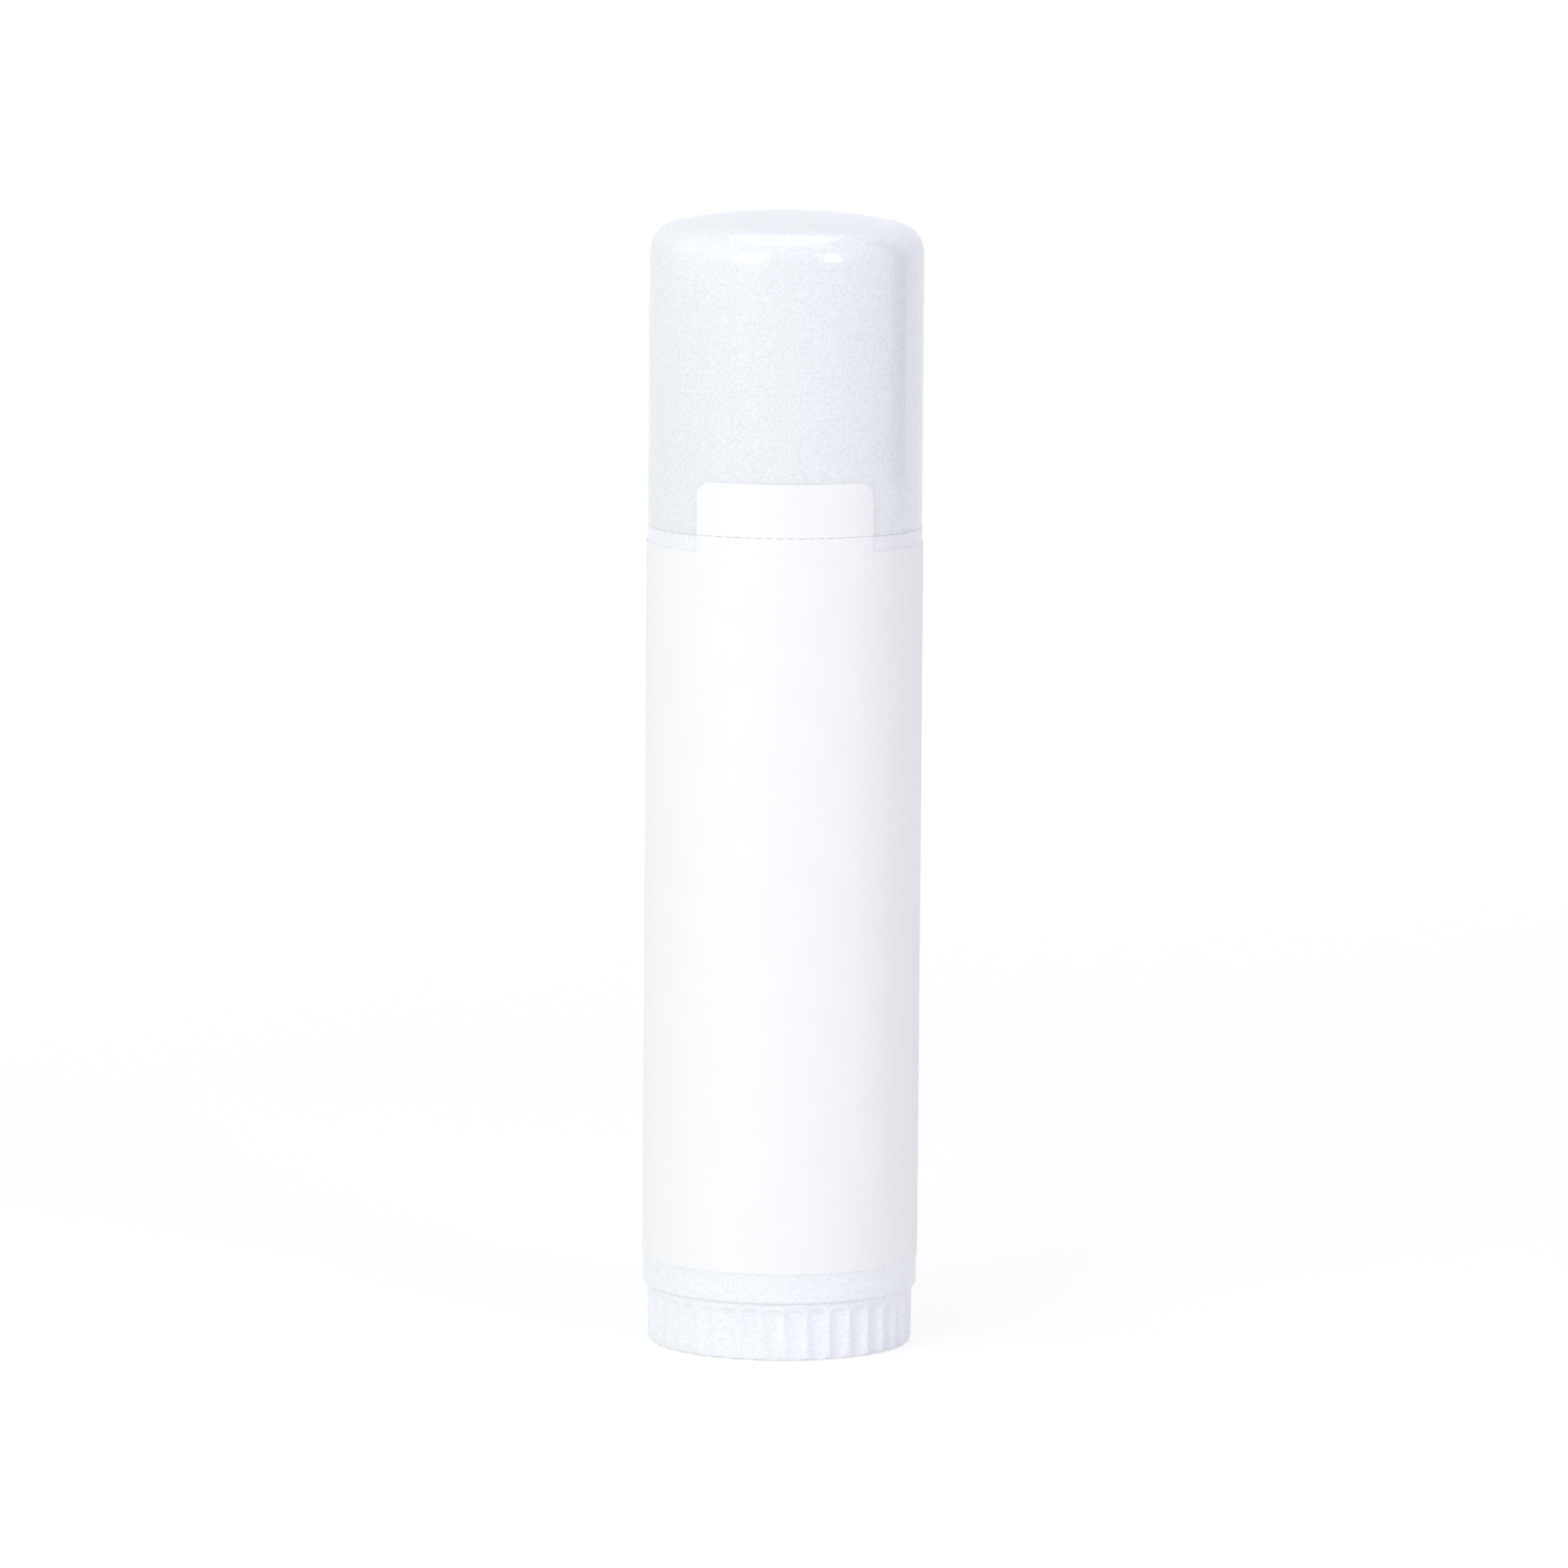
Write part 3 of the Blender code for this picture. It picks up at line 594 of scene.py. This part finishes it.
def barrel_bore():
    """The barrel's inner radius: inside its outer one come cap wall, clearance, bead and neck wall."""
    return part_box("barrel")[1].x - CAP_WALL - CAP_CLEARANCE - NECK_BEAD - NECK_WALL


def plug_level():
    """The level up to which the dial's plug stands in the barrel's foot."""
    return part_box("barrel")[0].z - DIAL_GAP + PLUG_HEIGHT


def make_barrel(material):
    low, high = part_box("barrel")
    radius = high.x
    bead_radius = radius - CAP_WALL - CAP_CLEARANCE
    neck = bead_radius - NECK_BEAD
    bore = barrel_bore()
    socket = bore + SOCKET_LEDGE
    shoulder = high.z - NECK_HEIGHT
    bead = shoulder + BEAD_ABOVE_SHOULDER
    socket_top = plug_level() + SOCKET_HEADROOM
    snap = (plug_level() + low.z) / 2
    snap_half = SNAP_HALF_WIDTH + SNAP_CLEARANCE
    profile = fillet_profile(
        [
            (neck, high.z, MOUTH_BEVEL),
            (neck, bead + BEAD_HALF_WIDTH, NECK_BEAD),
            (bead_radius, bead, BEAD_HALF_WIDTH),
            (neck, bead - BEAD_HALF_WIDTH, NECK_BEAD),
            (neck, shoulder, SEAM_EDGE),
            (radius, shoulder, SEAM_EDGE),
            (radius, low.z + FOOT_CHAMFER, FOOT_CHAMFER_EDGE),
            (radius - FOOT_CHAMFER, low.z, FOOT_CHAMFER_EDGE),
            (socket + SOCKET_LEAD_IN, low.z, SEAM_EDGE),
            (socket, low.z + SOCKET_LEAD_IN, SEAM_EDGE),
            (socket, snap - snap_half),
            (socket + SNAP_GROOVE, snap - snap_half + SNAP_SLOPE),
            (socket + SNAP_GROOVE, snap + snap_half - SNAP_SLOPE),
            (socket, snap + snap_half),
            (socket, socket_top, SEAM_EDGE),
            (bore, socket_top, SEAM_EDGE),
            (bore, high.z, MOUTH_BEVEL),
        ]
    )
    barrel = lathe("barrel_tube", profile)
    dress(barrel, material, "tube", "satin_white_plastic", "barrel")
    keys = radial_bars(
        "barrel_keys",
        KEY_COUNT,
        KEY_WIDTH,
        bore - KEY_HEIGHT,
        bore + KEY_ROOT,
        socket_top,
        high.z - KEY_SETBACK,
        KEY_EDGE,
    )
    dress(keys, material, "tube", "satin_white_plastic")


def flute_angles():
    """Angles round the dial, closer together at the ridges than in the flutes."""
    angles = []
    pitch = FULL_TURN / FLUTE_COUNT
    for index in range(FLUTE_COUNT):
        ridge = FRONT + FLUTE_PHASE + index * pitch
        for step in range(FLUTE_STEPS):
            share = step / FLUTE_STEPS
            eased = share - FLUTE_EASING_SHARE * math.sin(FULL_TURN * share) / FULL_TURN
            angles.append(ridge + pitch * eased)
    return angles


def dial_wall(radius, foot_radius, dial_top, flute_top):
    """Profile points down the fluted wall, closer together where the flutes run out."""
    run_out = FLUTE_RUN_OUT + 2 * FLUTE_ARC_DROP
    straight = flute_top * FLUTE_STRAIGHT_SHARE
    levels = [flute_top - run_out * step / RUN_OUT_STEPS for step in range(RUN_OUT_STEPS + 1)]
    levels += [straight * step / WALL_STEPS for step in range(WALL_STEPS, 0, -1)]
    return [(radius + (foot_radius - radius) * (dial_top - level) / dial_top, level) for level in levels]


def make_dial(material):
    low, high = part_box("dial_screw")
    barrel_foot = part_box("barrel")[0].z
    dial_top = barrel_foot - DIAL_GAP
    deck = barrel_foot - DIAL_LINE
    radius = max(high.x, high.y, -low.x, -low.y)
    foot_radius = radius - DIAL_DRAFT
    plug = barrel_bore() + SOCKET_LEDGE - PLUG_CLEARANCE
    plug_top = plug_level()
    snap = (barrel_foot + plug_top) / 2
    flute_top = dial_top - COLLAR_HEIGHT
    foot_centre = foot_radius - DIAL_FOOT_EDGE
    half_pitch = math.pi / FLUTE_COUNT
    half_width = radius * half_pitch - FLUTE_LAND / 2

    def fluted(at_radius, level, angle):
        """The wall's radius with the scallops cut in; their tops are arcs that run out under the collar."""
        if at_radius < foot_centre or level > flute_top:
            return at_radius
        turned = (angle - FRONT - FLUTE_PHASE) % (2 * half_pitch) - half_pitch
        across = turned * radius / half_width
        scallop = FLUTE_DEPTH * (1 - across * across)
        soft = (scallop + math.sqrt(scallop * scallop + FLUTE_SOFTNESS * FLUTE_SOFTNESS)) / 2
        below = flute_top - FLUTE_ARC_DROP * across * across - level
        ramp = min(1, max(0, below / FLUTE_RUN_OUT))
        cut = radius - soft * ramp * (2 - ramp)
        return min(at_radius, cut)

    wall = dial_wall(radius, foot_radius, dial_top, flute_top)
    foot = arc(foot_centre, DIAL_FOOT_EDGE, DIAL_FOOT_EDGE, 0, -math.pi / 2, FOOT_STEPS)
    recess = foot_radius - BASE_RIM
    profile = (
        fillet_profile(
            [
                (0, plug_top),
                (BOSS_RADIUS, plug_top, DIAL_TOP_EDGE),
                (BOSS_RADIUS, dial_top),
                (plug - PLUG_WALL, dial_top),
                (plug - PLUG_WALL, plug_top, SEAM_EDGE),
                (plug, plug_top, SOCKET_LEAD_IN),
                (plug, snap + SNAP_HALF_WIDTH),
                (plug + SNAP_DEPTH, snap + SNAP_HALF_WIDTH - SNAP_SLOPE),
                (plug + SNAP_DEPTH, snap - SNAP_HALF_WIDTH + SNAP_SLOPE),
                (plug, snap - SNAP_HALF_WIDTH),
                (plug, deck),
                (radius, deck, DIAL_TOP_EDGE),
                (radius, flute_top),
            ]
        )
        + wall[1:]
        + foot
        + fillet_profile(
            [
                foot[-1],
                (recess, 0, DIAL_TOP_EDGE),
                (recess, BASE_RECESS, DIAL_TOP_EDGE),
                (GATE_RADIUS, BASE_RECESS),
                (GATE_RADIUS, BASE_RECESS - GATE_HEIGHT, DIAL_TOP_EDGE),
                (0, BASE_RECESS - GATE_HEIGHT),
            ]
        )[1:]
    )
    dial = lathe("dial_wheel", profile, flute_angles(), fluted)
    dress(dial, material, "dial", "satin_white_plastic", "dial_screw")


def make_screw(material):
    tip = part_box("dial_screw")[1].z
    plug_top = plug_level()
    spindle = lathe(
        "dial_spindle",
        [
            (0, tip),
            (SPINDLE_ROOT - TIP_CHAMFER, tip),
            (SPINDLE_ROOT, tip - TIP_CHAMFER),
            (SPINDLE_ROOT, plug_top - THREAD_RUN_OUT),
            (0, plug_top - THREAD_RUN_OUT),
        ],
        even_angles(THREAD_STEPS),
    )
    dress(spindle, material, "dial", "satin_white_plastic")
    slope = (RIDGE_ROOT_HALF - RIDGE_CREST_HALF) / THREAD_DEPTH
    base = SPINDLE_ROOT - RIDGE_EMBED
    base_half = RIDGE_ROOT_HALF + RIDGE_EMBED * slope
    crest = SPINDLE_ROOT + THREAD_DEPTH
    start = plug_top + THREAD_RUN_OUT
    turns = (tip - THREAD_RUN_OUT - start) / THREAD_PITCH
    lug_level = plug_top + CARRIER_LIFT + LUG_HEIGHT
    # The ridge crosses the level of the carrier's lugs half a turn away from the first of them.
    phase = FULL_TURN * (lug_level - start) / THREAD_PITCH - math.pi
    section = [
        (base, -base_half),
        (crest, -RIDGE_CREST_HALF),
        (crest, RIDGE_CREST_HALF),
        (base, base_half),
    ]
    thread = helix("dial_thread", section, phase, start, turns)
    dress(thread, material, "dial", "satin_white_plastic")


def groove_angles(edge):
    """Angles round the stick, with a step at each edge of each groove, edge being half its width."""
    inset = edge * GROOVE_WIDTH_SHARE
    sector = FULL_TURN / KEY_COUNT
    wall = sector / 2 - edge
    angles = []
    for index in range(KEY_COUNT):
        middle = sector * (index + 0.5)
        angles += [middle - sector / 2 + wall * step / WAX_STEPS for step in range(WAX_STEPS + 1)]
        angles += [middle - inset + 2 * inset * step / GROOVE_STEPS for step in range(GROOVE_STEPS + 1)]
        angles += [middle + edge + wall * step / WAX_STEPS for step in range(WAX_STEPS)]
    return angles


def make_stick(material):
    low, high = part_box("sunscreen_stick")
    radius = high.x
    barrel_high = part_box("barrel")[1]
    bore = radius + WAX_CLEARANCE
    cup_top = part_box("carrier")[1].z + WAX_CLEARANCE
    cup_bore = bore - SLIDE_CLEARANCE - CUP_WALL - WAX_CLEARANCE
    hub = SPINDLE_ROOT + THREAD_DEPTH + THREAD_CLEARANCE
    screw_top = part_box("dial_screw")[1].z + TIP_RELIEF
    hub_top = cup_top - HUB_SETBACK
    dome = domed_end(high.z, radius, STICK_SHOULDER, STICK_CROWN_RADIUS)
    slot_top = barrel_high.z - KEY_SETBACK + KEY_CLEARANCE
    profile = dome + [
        (radius, slot_top + WAX_CLEARANCE),
        (radius, slot_top),
        (radius, cup_top),
        (cup_bore, cup_top),
        (cup_bore, low.z),
        (hub + HUB_WALL + WAX_CLEARANCE, low.z),
        (hub + HUB_WALL + WAX_CLEARANCE, hub_top),
        (hub, hub_top),
        (hub, screw_top),
        (0, screw_top),
    ]
    slot_half = KEY_WIDTH / 2 + KEY_CLEARANCE
    slot_floor = bore - KEY_HEIGHT - KEY_CLEARANCE

    def grooved(at_radius, level, angle):
        """The wall's radius, stepped in where the barrel's keys ran while the stick was cast."""
        if level > slot_top or at_radius < slot_floor:
            return at_radius
        pitch = FULL_TURN / KEY_COUNT
        off = angle % pitch - pitch / 2
        return slot_floor / math.cos(off) if abs(off) * bore < slot_half else at_radius

    stick = lathe("stick_bar", profile, groove_angles(slot_half / bore), grooved)
    dress(stick, material, "stick", "sunscreen_wax", "sunscreen_stick")


def label_columns(start, end, half_tongue, radius):
    """Angles across the label, with a pair at each edge of the tongue and of each perforation cut."""
    count = round((end - start) / LABEL_STEP)
    even = [start + (end - start) * step / count for step in range(count + 1)]
    middle = start + math.pi
    columns = [angle for angle in even if abs(angle - middle) > half_tongue + COLUMN_MARGIN]
    cuts = round(2 * half_tongue * radius / PERFORATION_PITCH)
    pitch = 2 * half_tongue / cuts
    tie = pitch * (1 - PERFORATION_CUT / PERFORATION_PITCH) / 2
    nudge = pitch * CUT_EDGE_SHARE
    for cut in range(cuts):
        left = middle - half_tongue + cut * pitch
        columns += [left, left + tie, left + tie + nudge, left + pitch / 2]
        columns += [left + pitch - tie - nudge, left + pitch - tie]
    columns.append(middle + half_tongue)
    return sorted(columns), cuts


def cut_here(angle, middle, half_tongue, cuts):
    """Whether a perforation cut is at this angle."""
    pitch = 2 * half_tongue / cuts
    tie = (1 - PERFORATION_CUT / PERFORATION_PITCH) / 2
    share = ((angle - middle + half_tongue) / pitch) % 1
    inside = abs(angle - middle) < half_tongue - ANGLE_SLACK
    edge = CUT_EDGE_SHARE / 2
    return inside and tie + edge < share < 1 - tie - edge


def make_label(material):
    low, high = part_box("label")
    barrel_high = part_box("barrel")[1]
    tab_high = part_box("tamper_tab")[1]
    radius = barrel_high.x + LABEL_GAP
    label_top = barrel_high.z - NECK_HEIGHT - LABEL_TOP_MARGIN
    face_radius = radius + LABEL_THICKNESS
    half_tongue = math.asin(tab_high.x / face_radius)
    start = FRONT - math.pi
    end = start + FULL_TURN + LABEL_OVERLAP
    columns, cuts = label_columns(start, end, half_tongue, radius)

    def spiral(angle):
        lifted = min(1, max(0, (angle - start - FULL_TURN + LABEL_RAMP + LABEL_STEP) / LABEL_RAMP))
        return radius + (LABEL_THICKNESS + LABEL_GAP) * lifted * lifted * (3 - 2 * lifted)

    def levels(angle):
        rows = [low.z, (low.z + label_top) / 2, label_top]
        if abs(angle - FRONT) <= half_tongue + ANGLE_SLACK:
            sunk = PERFORATION_DEPTH if cut_here(angle, FRONT, half_tongue, cuts) else 0
            rows += [high.z - 2 * PERFORATION_DEPTH, high.z - sunk]
        return rows

    label = film("label_wrap", columns, spiral, levels)
    dress(label, material, "tube", "label_film", "label")

    def tab_levels(angle):
        sunk = PERFORATION_DEPTH if cut_here(angle, FRONT, half_tongue, cuts) else 0
        from_side = max(0, tab_high.x - face_radius * math.sin(abs(angle - FRONT)))
        top = tab_high.z
        if from_side < TAB_CORNER:
            side = TAB_CORNER - from_side
            top -= TAB_CORNER - math.sqrt(max(0, TAB_CORNER * TAB_CORNER - side * side))
        foot = high.z + PERFORATION_SLIT
        nick_top = foot + 2 * PERFORATION_DEPTH
        return [foot + sunk, nick_top, (nick_top + top) / 2, top]

    inside = [angle for angle in columns if abs(angle - FRONT) <= half_tongue + ANGLE_SLACK]
    for step in range(1, TAB_CORNER_STEPS):
        from_side = TAB_CORNER * (1 - math.cos(math.pi / 2 * step / TAB_CORNER_STEPS))
        turned = math.asin((tab_high.x - from_side) / face_radius)
        inside += [FRONT - turned, FRONT + turned]
    tab = film("tab_flap", sorted(inside), lambda angle: radius, tab_levels)
    dress(tab, material, "cap", "label_film", "tamper_tab")


def floor_material():
    """White to the camera and in reflections, with enough of its own shade to keep the shadow.

    Its glow rises away from the tube, where the softboxes light it less.
    """
    material = bpy.data.materials.new("floor_white")
    material.use_nodes = True
    shader = material.node_tree.nodes["Principled BSDF"]
    links = material.node_tree.links
    add = node_maker(material)
    path = add("ShaderNodeLightPath")
    direct = add(
        "ShaderNodeMath",
        {0: path.outputs["Is Camera Ray"], 1: path.outputs["Is Glossy Ray"]},
        operation="MAXIMUM",
    ).outputs["Value"]
    seen = add(
        "ShaderNodeMath", {0: direct, 1: path.outputs["Is Transmission Ray"]}, operation="MAXIMUM"
    ).outputs["Value"]
    links.new(mixed(add, seen, FLOOR_COLOUR, FLOOR_SHADE), shader.inputs["Base Color"])
    place = add("ShaderNodeTexCoord").outputs["Object"]
    away = add("ShaderNodeVectorMath", {0: place}, operation="LENGTH").outputs["Value"]
    level = add(
        "ShaderNodeMapRange",
        {
            "Value": away,
            "From Min": FLOOR_NEAR,
            "From Max": FLOOR_FAR,
            "To Min": FLOOR_GLOW_NEAR,
            "To Max": FLOOR_GLOW_FAR,
        },
    ).outputs["Result"]
    glow = add("ShaderNodeMath", {0: seen, 1: level}, operation="MULTIPLY").outputs["Value"]
    links.new(glow, shader.inputs["Emission Strength"])
    shader.inputs["Emission Color"].default_value = (*WHITE, 1)
    shader.inputs["Roughness"].default_value = STAGE_ROUGHNESS
    shader.inputs["Specular IOR Level"].default_value = 0.0
    return material


def make_floor():
    bpy.ops.mesh.primitive_plane_add(size=FLOOR_SIZE, location=(0, 0, -FLOOR_DROP))
    floor = bpy.context.object
    floor.name = "floor"
    give(floor, floor_material())


def around(azimuth, elevation, distance):
    """A point seen from the aim point at an azimuth to the right of the front, and an elevation."""
    level = distance * math.cos(elevation)
    return Vector(
        (level * math.sin(azimuth), -level * math.cos(azimuth), AIM_HEIGHT + distance * math.sin(elevation))
    )


def soft_light(softbox):
    light = bpy.data.lights.new(softbox.name, "AREA")
    light.shape = "RECTANGLE"
    light.size = softbox.width
    light.size_y = softbox.height
    light.energy = softbox.radiance * math.pi * softbox.width * softbox.height
    light.color = softbox.colour
    obj = bpy.data.objects.new(softbox.name, light)
    obj.location = around(
        math.radians(softbox.azimuth), math.radians(softbox.elevation), softbox.distance
    )
    aim = Vector((0, 0, AIM_HEIGHT)) - obj.location
    obj.rotation_euler = aim.to_track_quat("-Z", "Y").to_euler()
    bpy.context.scene.collection.objects.link(obj)


def make_flag():
    """A grey card beyond the right side, whose reflection is the dark line down that side."""
    bpy.ops.mesh.primitive_plane_add(size=1)
    flag = bpy.context.object
    flag.name = "flag"
    flag.scale = (FLAG_WIDTH, FLAG_HEIGHT, 1)
    flag.location = around(FLAG_AZIMUTH, 0, FLAG_DISTANCE)
    flag.location.z = FLAG_HEIGHT / 2
    facing = Vector((-flag.location.x, -flag.location.y, 0))
    flag.rotation_euler = facing.to_track_quat("Z", "Y").to_euler()
    flag.visible_camera = False
    material = bpy.data.materials.new("flag_grey")
    material.use_nodes = True
    shader = material.node_tree.nodes["Principled BSDF"]
    shader.inputs["Base Color"].default_value = (*FLAG_COLOUR, 1)
    shader.inputs["Roughness"].default_value = STAGE_ROUGHNESS
    give(flag, material)


def make_studio():
    make_floor()
    make_flag()
    for softbox in SOFTBOXES:
        soft_light(softbox)
    world = bpy.data.worlds.new("studio")
    bpy.context.scene.world = world
    world.use_nodes = True
    background = world.node_tree.nodes["Background"]
    add = node_maker(world)
    path = add("ShaderNodeLightPath")
    room = mixed(add, path.outputs["Is Glossy Ray"], ROOM_LIGHT, ROOM_REFLECTED)
    backdrop = mixed(add, path.outputs["Is Camera Ray"], room, WHITE)
    world.node_tree.links.new(backdrop, background.inputs["Color"])
    background.inputs["Strength"].default_value = 1.0


def make_camera():
    camera = bpy.data.cameras.new("camera")
    camera.lens = LENS_MM
    camera.sensor_width = SENSOR_MM
    camera.clip_start = CLIP_NEAR
    camera.clip_end = CLIP_FAR
    obj = bpy.data.objects.new("camera", camera)
    bpy.context.scene.collection.objects.link(obj)
    obj.location = around(0, VIEW_ELEVATION, VIEW_DISTANCE)
    aim = Vector((AIM_SIDE, 0, AIM_HEIGHT)) - obj.location
    turn = aim.to_track_quat("-Z", "Y").to_matrix().to_4x4() @ Matrix.Rotation(VIEW_ROLL, 4, "Z")
    obj.rotation_euler = turn.to_euler()
    bpy.context.scene.camera = obj


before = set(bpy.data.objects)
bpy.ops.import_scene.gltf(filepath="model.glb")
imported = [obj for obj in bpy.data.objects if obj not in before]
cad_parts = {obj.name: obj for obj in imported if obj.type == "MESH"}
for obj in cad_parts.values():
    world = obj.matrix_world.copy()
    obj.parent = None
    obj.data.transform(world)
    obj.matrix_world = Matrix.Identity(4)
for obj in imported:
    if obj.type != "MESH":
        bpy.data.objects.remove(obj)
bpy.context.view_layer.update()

gloss_white = moulded_plastic(
    "gloss_white",
    dark=(0.805, 0.848, 0.865),
    light=(0.835, 0.873, 0.885),
    gloss=(0.10, 0.16),
    peel_per_metre=1500,
    peel_height=0.0010 * MM,
)
satin_white = moulded_plastic(
    "satin_white",
    dark=(0.875, 0.905, 0.93),
    light=(0.905, 0.93, 0.95),
    gloss=(0.28, 0.38),
    peel_per_metre=3200,
    peel_height=0.0020 * MM,
)
natural_white = moulded_plastic(
    "natural_white",
    dark=(0.70, 0.72, 0.70),
    light=(0.76, 0.78, 0.76),
    gloss=(0.35, 0.45),
    peel_per_metre=2400,
    peel_height=0.0020 * MM,
)
label_white = label_film(
    "label_white",
    dark=(0.91, 0.91, 0.90),
    light=(0.93, 0.93, 0.92),
    gloss=(0.42, 0.52),
    tooth_height=0.0025 * MM,
)
wax_cream = sunscreen_wax(
    "wax_cream",
    dark=(0.87, 0.84, 0.75),
    light=(0.92, 0.90, 0.82),
    gloss=(0.36, 0.52),
    pores_per_metre=2600.0,
    pore_height=0.012 * MM,
)

make_cap(gloss_white)
make_barrel(satin_white)
make_dial(satin_white)
make_screw(satin_white)
make_stick(wax_cream)
make_label(label_white)
give(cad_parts["carrier"], natural_white)

make_studio()
make_camera()
bpy.context.scene.view_settings.view_transform = "Standard"
